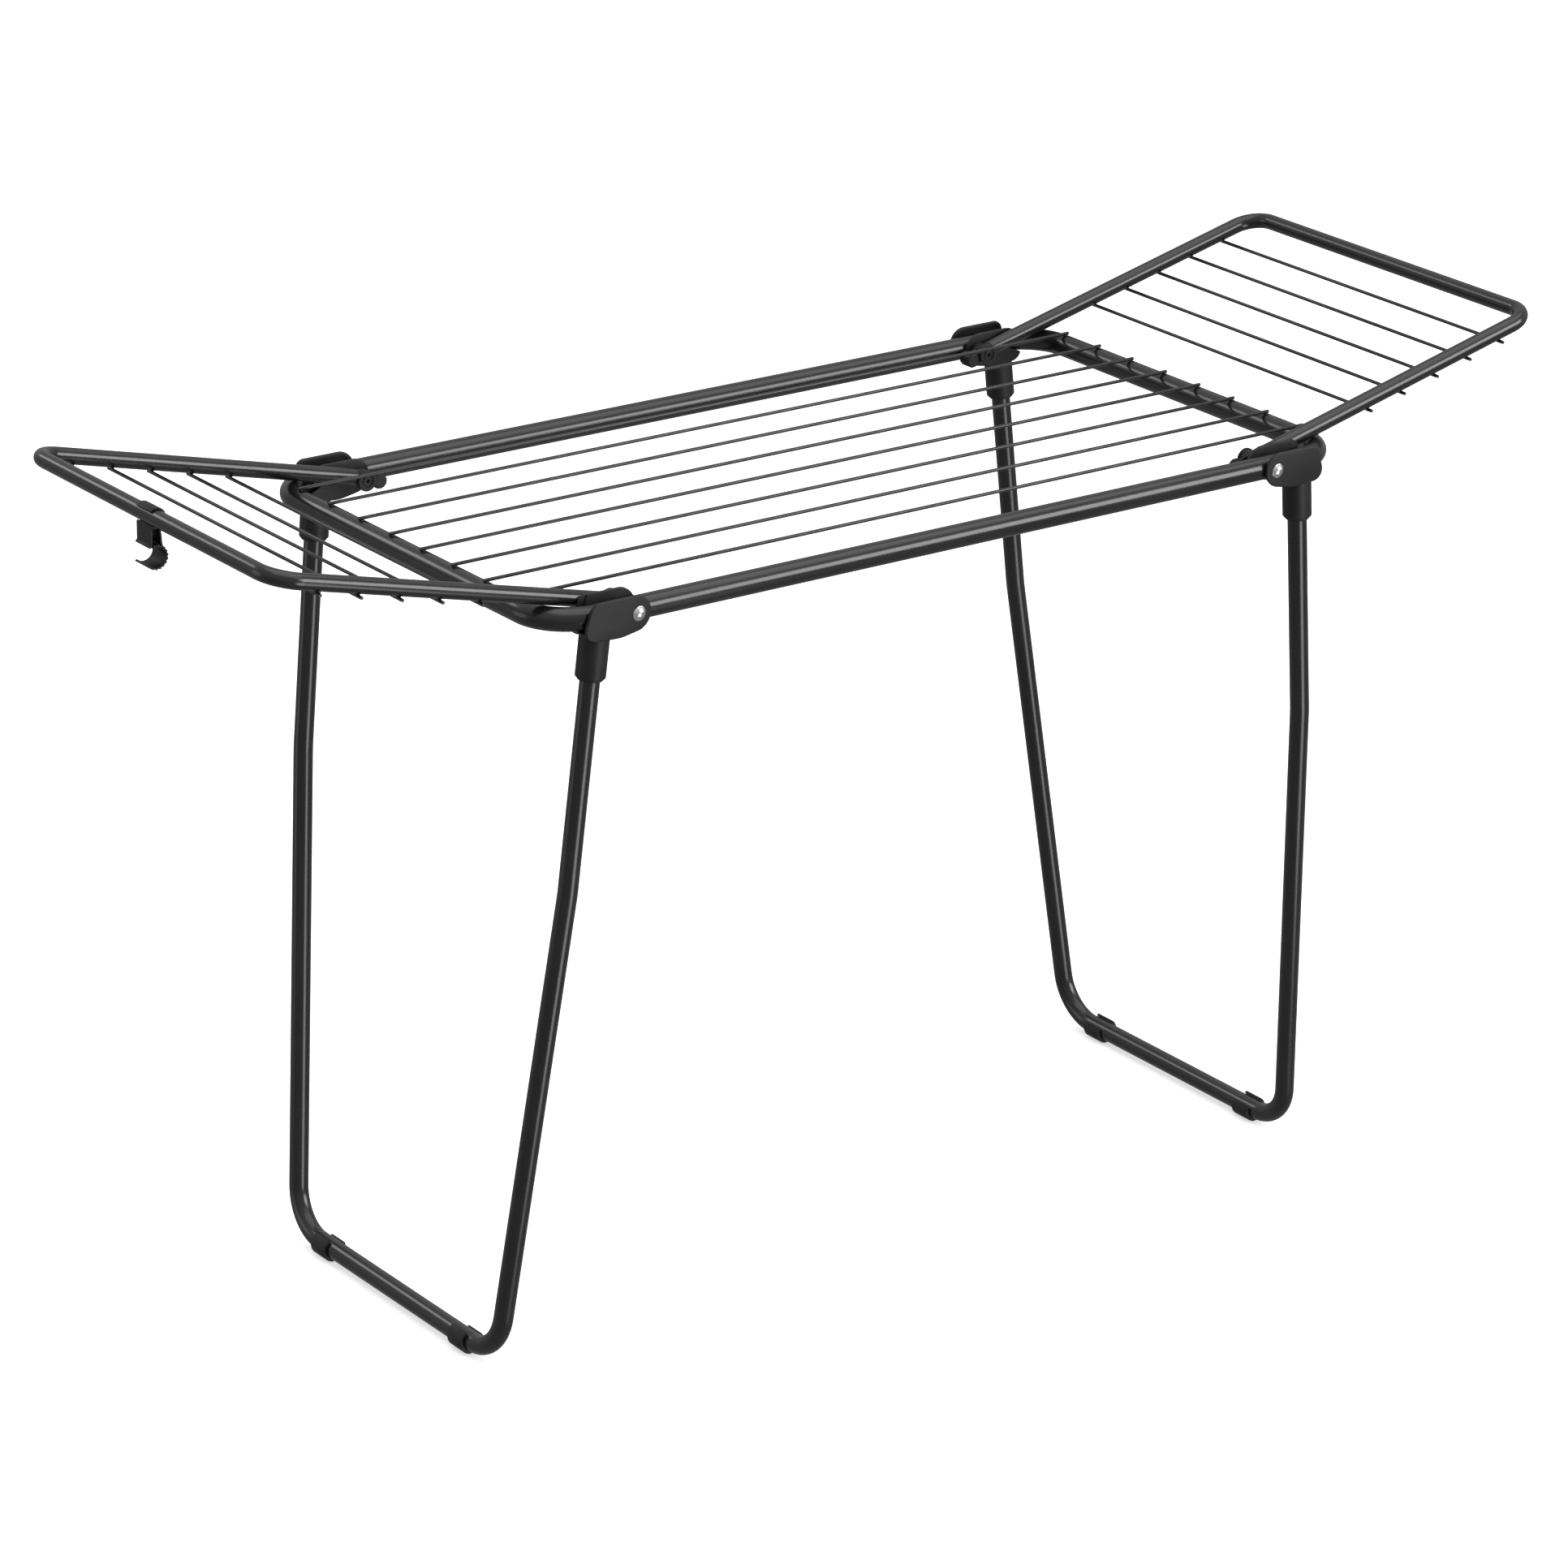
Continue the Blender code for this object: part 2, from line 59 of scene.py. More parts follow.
class Socket:
    """One output of a shader node. Arithmetic on it adds Math nodes to the same material."""

    def __init__(self, tree, plug):
        self.tree = tree
        self.plug = plug

    def node(self, kind, settings, values, output=0):
        """Any node, from its type, its settings and the values or links of its sockets, by one output."""
        made = self.tree.nodes.new("ShaderNode" + kind)
        for name, value in settings.items():
            setattr(made, name, value)
        for name, value in values.items():
            feed(self.tree, made.inputs[name], value)
        return Socket(self.tree, made.outputs[output])

    def maths(self, operation, first, second):
        return self.node("Math", {"operation": operation}, {0: first, 1: second})

    def __add__(self, other):
        return self.maths("ADD", self, other)

    def __sub__(self, other):
        return self.maths("SUBTRACT", self, other)

    def __rsub__(self, other):
        return self.maths("SUBTRACT", other, self)

    def __mul__(self, other):
        return self.maths("MULTIPLY", self, other)

    __radd__ = __add__
    __rmul__ = __mul__

    def noise(self, scale, detail=2.0, roughness=0.5):
        """Cloudy 0 to 1 pattern with this many lumps to the metre."""
        return self.node("TexNoise", {}, {"Vector": self, "Scale": scale, "Detail": detail,
                                          "Roughness": roughness})

    def ramp(self, start, end):
        """0 below start, 1 above end, even between."""
        return self.node("MapRange", {"clamp": True}, {"Value": self, "From Min": start, "From Max": end})

    def mixed(self, colour_a, colour_b):
        """This socket as the factor between two colours."""
        return self.node("Mix", {"data_type": "RGBA"}, {0: self, 6: colour_a, 7: colour_b}, 2)


def feed(tree, plug, value):
    """Link or set one input."""
    if isinstance(value, Socket):
        tree.links.new(value.plug, plug)
    elif isinstance(value, tuple) and len(value) == 3 and plug.type == "RGBA":
        plug.default_value = (*value, 1.0)
    else:
        plug.default_value = value


def new_finish(name):
    """A material with its object coordinates and its surface shader."""
    made = bpy.data.materials.new(name)
    made.use_nodes = True
    surface = made.node_tree.nodes["Principled BSDF"]
    place = Socket(made.node_tree, None).node("TexCoord", {}, {}, "Object")
    return made, place, surface


def give(surface, **values):
    """Set the surface shader's own sockets, with _ for a space in a name."""
    for name, value in values.items():
        feed(surface.id_data, surface.inputs[name.replace("_", " ")], value)


def powder_coat(name, dark, light, smoothness):
    """Satin powder coat: orange peel, faint cloudiness, a few dull specks."""
    made, place, surface = new_finish(name)
    peel = place.noise(620.0, 2.0, 0.45)
    grit = place.noise(2600.0, 1.0)
    cloud = place.noise(9.0, 3.0)
    speck = place.noise(1500.0, 0.0).ramp(0.70, 0.76)
    relief = peel * 0.8 + grit * 0.2
    bump = place.node("Bump", {}, {"Strength": 0.05, "Distance": 0.0003, "Height": relief})
    give(surface, Base_Color=cloud.ramp(0.3, 0.7).mixed(dark, light),
         Roughness=smoothness + cloud * 0.06 + peel * 0.05 + speck * 0.15, Normal=bump)
    surface.inputs["IOR"].default_value = 1.52
    return made


def finished(bm, name, finish, body, node, crisp=35.0):
    """Turn a bmesh into the piece that stands for this CAD node and rides on this body."""
    mesh = bpy.data.meshes.new(name)
    bm.to_mesh(mesh)
    bm.free()
    mesh.polygons.foreach_set("use_smooth", [True] * len(mesh.polygons))
    mesh.set_sharp_from_angle(angle=radians(crisp))
    mesh.materials.append(finish)
    piece = bpy.data.objects.new(name, mesh)
    bpy.context.scene.collection.objects.link(piece)
    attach(piece, body)
    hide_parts(node)


class Run:
    """A section drawn through straights and bends, as a tube or a strap is formed."""

    def __init__(self, bm, edges, spot, way):
        self.bm = bm
        self.edges = edges
        self.spot = Vector(spot)
        self.way = Vector(way).normalized()

    def straight(self, length):
        grown = bmesh.ops.extrude_edge_only(self.bm, edges=self.edges)["geom"]
        fresh = {item for item in grown if isinstance(item, bmesh.types.BMVert)}
        bmesh.ops.translate(self.bm, verts=list(fresh), vec=self.way * length)
        self.edges = [item for item in grown if isinstance(item, bmesh.types.BMEdge)
                      and item.verts[0] in fresh and item.verts[1] in fresh]
        self.spot += self.way * length

    def bend(self, radius, angle, axis, step=radians(6)):
        centre = self.spot + axis.cross(self.way) * radius
        turned = bmesh.ops.spin(self.bm, geom=self.edges, cent=centre, axis=axis, angle=angle,
                                steps=max(2, round(angle / step)))
        self.edges = [item for item in turned["geom_last"] if isinstance(item, bmesh.types.BMEdge)]
        turn = Matrix.Rotation(angle, 3, axis)
        self.spot = centre + turn @ (self.spot - centre)
        self.way = turn @ self.way


def round_section(bm, radius, spot, way, sides):
    """Ring of edges square to a direction."""
    place = Matrix.Translation(spot) @ Vector(way).to_track_quat("Z", "Y").to_matrix().to_4x4()
    ring = bmesh.ops.create_circle(bm, segments=sides, radius=radius, matrix=place)["verts"]
    return list({edge for vert in ring for edge in vert.link_edges})


def bent_tube(bm, radius, corners, closed=False, sides=36):
    """Tube from corner to corner, bent at each (point, bend radius) in between."""
    points = [Vector(point) for point, bend in corners]
    if closed:
        start = (points[-1] + points[0]) / 2
        stops = list(zip(points, [bend for point, bend in corners])) + [(start, 0.0)]
    else:
        start = points[0]
        stops = list(zip(points[1:], [bend for point, bend in corners[1:]]))
    way = (stops[0][0] - start).normalized()
    run = Run(bm, round_section(bm, radius, start, way, sides), start, way)
    for k, (point, bend) in enumerate(stops):
        if k == len(stops) - 1:
            run.straight((point - run.spot).length)
            break
        onward = (stops[k + 1][0] - point).normalized()
        turn = run.way.angle(onward)
        axis = run.way.cross(onward).normalized()
        run.straight((point - run.spot).length - bend * tan(turn / 2))
        run.bend(bend, turn, axis)
    if closed:
        bmesh.ops.remove_doubles(bm, verts=bm.verts, dist=0.00002)    # the butt joint of the loop
    else:
        bmesh.ops.holes_fill(bm, edges=[edge for edge in bm.edges if edge.is_boundary])
    bmesh.ops.recalc_face_normals(bm, faces=bm.faces)


tube_coat = powder_coat("satin_black_tube_coat", (0.007, 0.007, 0.0075), (0.011, 0.011, 0.0115), 0.16)
bm = bmesh.new()
bent_tube(bm, frame_r, [(frame_mid + Vector((x * frame_half_long, y * frame_half_wide, 0)), frame_corner_r)
                        for x, y in ((-1, -1), (1, -1), (1, 1), (-1, 1))], closed=True, sides=48)
finished(bm, "frame_tube_loop", tube_coat, "main_frame", "main_frame_tube")

# Long wires. Eight straight drawn wires lie across the tops of the two end tubes, are resistance
# welded to each and coated with them, with their cropped ends just past the tube.
wire_coat = powder_coat("satin_black_wire_coat", (0.008, 0.008, 0.0085), (0.012, 0.012, 0.0125), 0.22)
crop_round = 0.0005
bead = (0.0024, 0.0018, 0.0008)


def welded_wire(bm, start, end, radius, welds, lean):
    """Cropped wire with a flattened weld bead at each place where it is welded."""
    way = (end - start).normalized()
    run = Run(bm, round_section(bm, radius, start, way, 16), start, way)
    run.straight((end - start).length)
    ends = bmesh.ops.holes_fill(bm, edges=[edge for edge in bm.edges if edge.is_boundary])["faces"]
    rims = list({edge for face in ends for edge in face.edges})
    bmesh.ops.bevel(bm, geom=rims, offset=crop_round, segments=2, profile=0.5, affect="EDGES",
                    material=-1)
    turn = way.to_track_quat("X", "Z").to_matrix().to_4x4()
    for spot in welds:
        place = Matrix.Translation(spot + lean * radius) @ turn @ Matrix.Diagonal((*bead, 1))
        bmesh.ops.create_uvsphere(bm, u_segments=16, v_segments=10, radius=1.0, matrix=place)
    bmesh.ops.recalc_face_normals(bm, faces=bm.faces)


wire = 0
while "main_wire_%d" % (wire + 1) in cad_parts:
    wire += 1
    wire_low, wire_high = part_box("main_wire_%d" % wire)
    wire_mid = (wire_low + wire_high) / 2
    wire_r = (wire_high.z - wire_low.z) / 2
    ends = [Vector((x, wire_mid.y, wire_mid.z)) for x in (wire_low.x, wire_high.x)]
    welds = [Vector((frame_mid.x + side * frame_half_long, wire_mid.y, wire_mid.z)) for side in (-1, 1)]
    bm = bmesh.new()
    welded_wire(bm, *ends, wire_r, welds, -up)
    finished(bm, "long_wire_%d" % wire, wire_coat, "main_frame", "main_wire_%d" % wire)

# Rivets. Four steel rivets are the hinges of both the legs and the wings: a polished domed head
# outside, and a shank through the bracket and the frame tube that ends inside the wing's boss.


def polished_steel(name):
    """Bright steel with a fine grain bump and faint scuffs."""
    made, place, surface = new_finish(name)
    scuff = place.noise(260.0, 4.0, 0.6)
    grain = place.noise(3200.0, 2.0)
    bump = place.node("Bump", {}, {"Strength": 0.06, "Distance": 0.0001, "Height": grain})
    give(surface, Base_Color=scuff.mixed((0.62, 0.62, 0.63), (0.78, 0.78, 0.79)),
         Roughness=0.14 + scuff * 0.10, Normal=bump)
    surface.inputs["Metallic"].default_value = 1.0
    return made


def turned(bm, profile, spot, axis, steps=48, closed=True):
    """Spin a (radius, height) outline about an axis from a spot."""
    axis = Vector(axis).normalized()
    side = axis.orthogonal().normalized()
    line = [bm.verts.new(spot + side * radius + axis * height) for radius, height in profile]
    edges = [bm.edges.new(pair) for pair in zip(line, line[1:])]
    before = set(bm.faces)
    bmesh.ops.spin(bm, geom=line + edges, cent=spot, axis=axis, angle=2 * pi, steps=steps, use_merge=True)
    made = [face for face in bm.faces if face not in before]
    verts = list({vert for face in made for vert in face.verts})
    bmesh.ops.remove_doubles(bm, verts=verts, dist=0.00001)
    made = [face for face in bm.faces if face not in before]
    if closed:
        rims = [edge for face in made for edge in face.edges if edge.is_boundary]
        made += bmesh.ops.holes_fill(bm, edges=list(set(rims)))["faces"]
    bmesh.ops.recalc_face_normals(bm, faces=made)
    return made


def arc(x, y, radius, start, end, steps):
    """Points round part of a circle, in degrees."""
    turns = [radians(start + (end - start) * k / steps) for k in range(steps + 1)]
    return [(x + radius * cos(a), y + radius * sin(a)) for a in turns]


steel = polished_steel("polished_rivet_steel")
shank_r, shank_tip = 0.0030, 0.0008
dome, dome_lip = 0.0038, 0.0003
for side in ("left", "right"):
    for end, inward in (("front", 1), ("back", -1)):
        node = "rivet_%s_%s" % (side, end)
        low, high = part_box(node)
        spot = Vector(((low.x + high.x) / 2, low.y if inward > 0 else high.y, (low.z + high.z) / 2))
        head_r, length = (high.x - low.x) / 2, high.y - low.y
        ball = (head_r ** 2 + dome ** 2) / (2 * dome)
        cap = degrees(asin(head_r / ball))
        crown = [(r, ball - h) for h, r in arc(0, 0, ball, 0, cap * 0.93, 9)]
        lip = [(head_r, dome - dome_lip), (head_r - dome_lip, dome)]
        shank = [(shank_r, dome), (shank_r, length - shank_tip), (shank_r - shank_tip, length), (0.0, length)]
        bm = bmesh.new()
        turned(bm, crown + lip + shank, spot, along_y * inward)
        finished(bm, "hinge_rivet_%s_%s" % (side, end), steel, "main_frame", node, crisp=40)

# Leg frames. Each is one tube bent into a U that stands on its own crossbar, waisted in above the
# middle, coated like the drying frame, with its open ends pushed up into the brackets.
splay = radians(5.516)
leg_corner_r, leg_bend_r = 0.055, 0.15
bend_height, foot_half, flare = 0.552, 0.206, 0.034
socket_start = 0.0285
pivots = {}
for side in ("left", "right"):
    low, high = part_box("rivet_%s_front" % side)
    pivots[side] = Vector(((low.x + high.x) / 2, 0, frame_mid.z))
leg_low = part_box("left_leg_tube")[0]
leg_r = 0.011
crossbar_z = leg_low.z + leg_r
crossbar_reach = pivots["left"].x - leg_low.x - leg_r
leg_rise = frame_mid.z - crossbar_z
leg_length = leg_rise / cos(splay)
outward = {"left": -1, "right": 1}


def leg_spot(side, height, y):
    """Point on a leg frame, by the height up the leg from its crossbar."""
    x = outward[side] * (crossbar_reach - sin(splay) * height)
    return Vector((pivots[side].x + x, y, crossbar_z + cos(splay) * height))


def leg_y(height):
    """Half the leg frame's width above its bend."""
    return frame_half_wide - flare * (leg_length - height)


for side in ("left", "right"):
    top = leg_length - socket_start
    shape = [(top, leg_y(top), 0.0), (bend_height, leg_y(bend_height), leg_bend_r),
             (0.0, foot_half, leg_corner_r)]
    corners = [(leg_spot(side, h, -y), r) for h, y, r in shape]
    corners += [(leg_spot(side, h, y), r) for h, y, r in reversed(shape)]
    bm = bmesh.new()
    bent_tube(bm, leg_r, corners)
    finished(bm, side + "_leg_frame", tube_coat, side + "_legs", side + "_leg_tube")

# Leg brackets. Four mouldings in matte black plastic: two cheeks straddle the frame tube on the
# rivet, a web under the tube stops the leg when it is open, and a round socket grips the leg tube.
# The inner cheek is cut back at the heel, with a thin lip, to drop past the frame tube's bend.


def moulded_plastic(name, dark, light, smoothness):
    """Spark-textured black plastic, a little cloudy from the mould."""
    made, place, surface = new_finish(name)
    grain = place.noise(2400.0, 2.0, 0.6)
    flow = place.noise(38.0, 3.0)
    bump = place.node("Bump", {}, {"Strength": 0.16, "Distance": 0.0002, "Height": grain})
    give(surface, Base_Color=flow.ramp(0.3, 0.7).mixed(dark, light),
         Roughness=smoothness + flow * 0.08 + grain * 0.06, Normal=bump)
    surface.inputs["IOR"].default_value = 1.46
    surface.inputs["Specular IOR Level"].default_value = 0.36
    return made


def plate(bm, corners, y_low, y_high, rim, border=0.0):
    """Flat moulding from (x, z, corner radius) points, its rims rounded and its high face pocketed."""
    before = set(bm.faces)
    face = bm.faces.new([bm.verts.new((x, y_low, z)) for x, z, radius in corners])
    verts = list(face.verts)
    for vert, (x, z, radius) in zip(verts, corners):
        if radius > 0:
            bmesh.ops.bevel(bm, geom=[vert], offset=radius, segments=10, profile=0.5, affect="VERTICES",
                            material=-1)
    flat = [item for item in bm.faces if item not in before]
    grown = bmesh.ops.extrude_face_region(bm, geom=flat)["geom"]
    bmesh.ops.translate(bm, verts=[item for item in grown if isinstance(item, bmesh.types.BMVert)],
                        vec=(0, y_high - y_low, 0))
    made = [item for item in bm.faces if item not in before]
    bmesh.ops.recalc_face_normals(bm, faces=made)
    if rim > 0:
        rims = {edge for item in made for edge in item.edges
                if abs(edge.verts[0].co.y - edge.verts[1].co.y) < 0.000001}
        bmesh.ops.bevel(bm, geom=list(rims), offset=rim, segments=3, profile=0.5, affect="EDGES", material=-1)
    if border > 0:
        face = max((item for item in bm.faces if item not in before and item.normal.y > 0.99),
                   key=lambda item: item.calc_area())
        bmesh.ops.inset_region(bm, faces=[face], thickness=border, depth=0.0)
        bmesh.ops.inset_region(bm, faces=[face], thickness=0.0006, depth=-0.0012)


def settle(bm, side, end, middle_y):
    """Turn a front left moulding into any of the four corners and put it on its hinge."""
    turn_round = (side == "right")
    mirror = (end == "back") != turn_round
    if mirror:
        bmesh.ops.scale(bm, vec=(1, -1, 1), verts=bm.verts)
        bmesh.ops.reverse_faces(bm, faces=bm.faces)
    if turn_round:
        bmesh.ops.rotate(bm, cent=(0, 0, 0), matrix=Matrix.Rotation(pi, 3, "Z"), verts=bm.verts)
    y = -middle_y if end == "front" else middle_y
    bmesh.ops.translate(bm, verts=bm.verts, vec=Vector((pivots[side].x, y, frame_mid.z)))


def bend_notch(start):
    """Edge of the inner cheek's heel: a turn about the rivet, then a lobe under the frame tube's bend."""
    over = [(x, z, 0.0) for x, z in arc(0.0, 0.0, heel_swing, 155.5, 180.0, 6)]
    under = []
    for k in range(8):
        past = start + heel_swing + 0.0022 * k
        reach = frame_corner_r - hypot(frame_corner_r - slot_half, past)
        under.append((start - past, -((slot_half + gap) ** 2 - reach ** 2) ** 0.5 - 2 * gap, 0.0))
    return over + under


plastic = moulded_plastic("matte_black_moulding", (0.006, 0.006, 0.0065), (0.010, 0.010, 0.0105), 0.42)
slot_half, cheek_face = 0.0133, 0.0175
cheek_top, cheek_bottom = 0.020, -0.0231
nose_end, heel_swing, lip_swing, lip_back = 0.0155, 0.0482, 0.0565, 0.0152
lobe_x, lobe_z, lobe_r, web_r = -0.0515, -0.0080, 0.0140, 0.0133
sleeve_r, sleeve_start, sleeve_end, sleeve_round = 0.0165, 0.0150, 0.0686, 0.0016
leg_offset = crossbar_reach - leg_rise * tan(splay)
bend_start = frame_low.x + frame_r + frame_corner_r - pivots["left"].x
for side in ("left", "right"):
    for end in ("front", "back"):
        bm = bmesh.new()
        nose = [(-0.0215, cheek_bottom, 0.0040), (nose_end, -0.0163, 0.0162), (nose_end, cheek_top, 0.0195)]
        heel = [(-0.0569, cheek_top, 0.0079), (-0.0707, -0.0213, 0.0186)]
        plate(bm, nose + heel, -cheek_face, -slot_half, 0.0014, 0.0030)
        lobe = [(x, z, 0.0) for x, z in arc(lobe_x, lobe_z, lobe_r, 197, 268, 8)]
        plate(bm, nose + bend_notch(bend_start) + lobe, slot_half, cheek_face, 0.0009)
        lip = [(-0.0420, cheek_top, 0.0), (-0.0470, cheek_top, 0.0)]
        lip += [(x, z, 0.0) for x, z in arc(0.0, 0.0, lip_swing, 163, 182, 6)] + [(-0.0450, -0.0020, 0.0)]
        plate(bm, lip, lip_back, cheek_face, 0.0006)
        web = [(x, z, 0.0) for x, z in arc(lobe_x, lobe_z, web_r, 208, 265, 6)]
        web += [(-0.0215, cheek_bottom + 0.0007, 0.0), (-0.0178, cheek_bottom + 0.0013, 0.001),
                (-0.0170, -slot_half - gap, 0.001), (-0.0628, -slot_half - gap, 0.001)]
        plate(bm, web, -slot_half - 0.0006, slot_half + 0.0006, 0.0)
        down = Vector((-sin(splay), flare, -cos(splay))).normalized()
        root = Vector((-leg_offset, 0, 0))
        sleeve = [(0.0, sleeve_start), (sleeve_r - 0.0004, sleeve_start), (sleeve_r, sleeve_start + 0.0040),
                  (sleeve_r, sleeve_end - 0.0040)]
        sleeve += arc(sleeve_r - sleeve_round, sleeve_end - 0.0040, sleeve_round, 0, 80, 5)[1:]
        bore = leg_r + 0.0004
        sleeve += [(0.0142, sleeve_end - 0.0023), (0.0141, sleeve_end - 0.0006), (0.0136, sleeve_end),
                   (bore, sleeve_end), (bore, sleeve_end - 0.010), (0.0, sleeve_end - 0.010)]
        turned(bm, sleeve, root, down)
        settle(bm, side, end, frame_half_wide)
        node = "%s_leg_bracket_%s" % (side, end)
        finished(bm, "%s_hinge_bracket_%s" % (side, end), plastic, side + "_legs", node,
                 crisp=32)

# Feet. Two C-shaped clips of the same plastic are sprung onto each crossbar and stand on the floor
# on a flat sole.
foot_clip = moulded_plastic("worn_black_foot_plastic", (0.007, 0.007, 0.0075), (0.012, 0.012, 0.0125), 0.46)
for side in ("left", "right"):
    for end in ("front", "back"):
        node = "%s_foot_%s" % (side, end)
        low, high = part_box(node)
        middle = Vector((leg_spot(side, 0, 0).x, (low.y + high.y) / 2, crossbar_z))
        half = (high.y - low.y) / 2
        outer, inner = 0.0149, leg_r + gap
        bm = bmesh.new()
        wall = [(inner, -half), (outer, -half), (outer, half), (inner, half)]
        mouth, wrap = radians(120), radians(260)
        section = [bm.verts.new((r * cos(mouth), y, r * sin(mouth))) for r, y in wall]
        bmesh.ops.spin(bm, geom=[bm.faces.new(section)], cent=(0, 0, 0), axis=-along_y, angle=wrap, steps=52)
        bmesh.ops.recalc_face_normals(bm, faces=bm.faces)
        lips = [edge for edge in bm.edges if abs(edge.verts[0].co.y - edge.verts[1].co.y) < 0.000001
                and abs(abs(edge.verts[0].co.y) - half) < 0.000001
                and min(vert.co.xz.length for vert in edge.verts) > outer - 0.0001]
        bmesh.ops.bevel(bm, geom=lips, offset=0.0009, segments=2, profile=0.5, affect="EDGES", material=-1)
        bmesh.ops.bisect_plane(bm, geom=list(bm.verts) + list(bm.edges) + list(bm.faces),
                               plane_co=(0, 0, low.z - crossbar_z), plane_no=-up, clear_outer=True)
        bmesh.ops.holes_fill(bm, edges=[edge for edge in bm.edges if edge.is_boundary])
        bmesh.ops.recalc_face_normals(bm, faces=bm.faces)
        if side == "right":
            bmesh.ops.rotate(bm, cent=(0, 0, 0), matrix=Matrix.Rotation(pi, 3, "Z"), verts=bm.verts)
        bmesh.ops.translate(bm, verts=bm.verts, vec=middle)
        finished(bm, "%s_crossbar_clip_%s" % (side, end), foot_clip, side + "_legs", node,
                 crisp=32)

# Wings. Each is a thinner tube bent into a U, resting on the end of the drying frame when open, with
# five cross wires welded to the underside of its arms.
wing_r = 0.0091
wing_corner_r, wing_raise, wing_start = 0.031, 0.0010, 0.0108
wing_reach, wing_lift = 0.4100, 0.1014
wing_arm, wing_slope = hypot(wing_reach, wing_lift), atan2(wing_lift, wing_reach)
wing_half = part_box("left_wing_tube")[1].y - wing_r


def wing_spot(side, reach, y, above):
    """Point on a wing, by the reach out along its arms from the hinge and the height off them."""
    x = cos(wing_slope) * reach - sin(wing_slope) * (above + wing_raise)
    z = sin(wing_slope) * reach + cos(wing_slope) * (above + wing_raise)
    return pivots[side] + Vector((outward[side] * x, y, z))


for side in ("left", "right"):
    shape = [(wing_start, 0.0), (wing_arm, wing_corner_r)]
    corners = [(wing_spot(side, reach, -wing_half, 0), r) for reach, r in shape]
    corners += [(wing_spot(side, reach, wing_half, 0), r) for reach, r in reversed(shape)]
    bm = bmesh.new()
    bent_tube(bm, wing_r, corners, sides=32)
    finished(bm, side + "_wing_frame", tube_coat, side + "_wing", side + "_wing_tube")
    square_up = Vector((-outward[side] * sin(wing_slope), 0, cos(wing_slope)))
    wire = 0
    while "%s_wing_wire_%d" % (side, wire + 1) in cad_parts:
        wire += 1
        node = "%s_wing_wire_%d" % (side, wire)
        low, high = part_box(node)
        middle = (low + high) / 2
        ends = [Vector((middle.x, y, middle.z)) for y in (low.y, high.y)]
        welds = [Vector((middle.x, y, middle.z)) for y in (-wing_half, wing_half)]
        bm = bmesh.new()
        welded_wire(bm, *ends, (high.z - low.z) / 2, welds, square_up)
        finished(bm, "%s_cross_wire_%d" % (side, wire), wire_coat, side + "_wing", node)

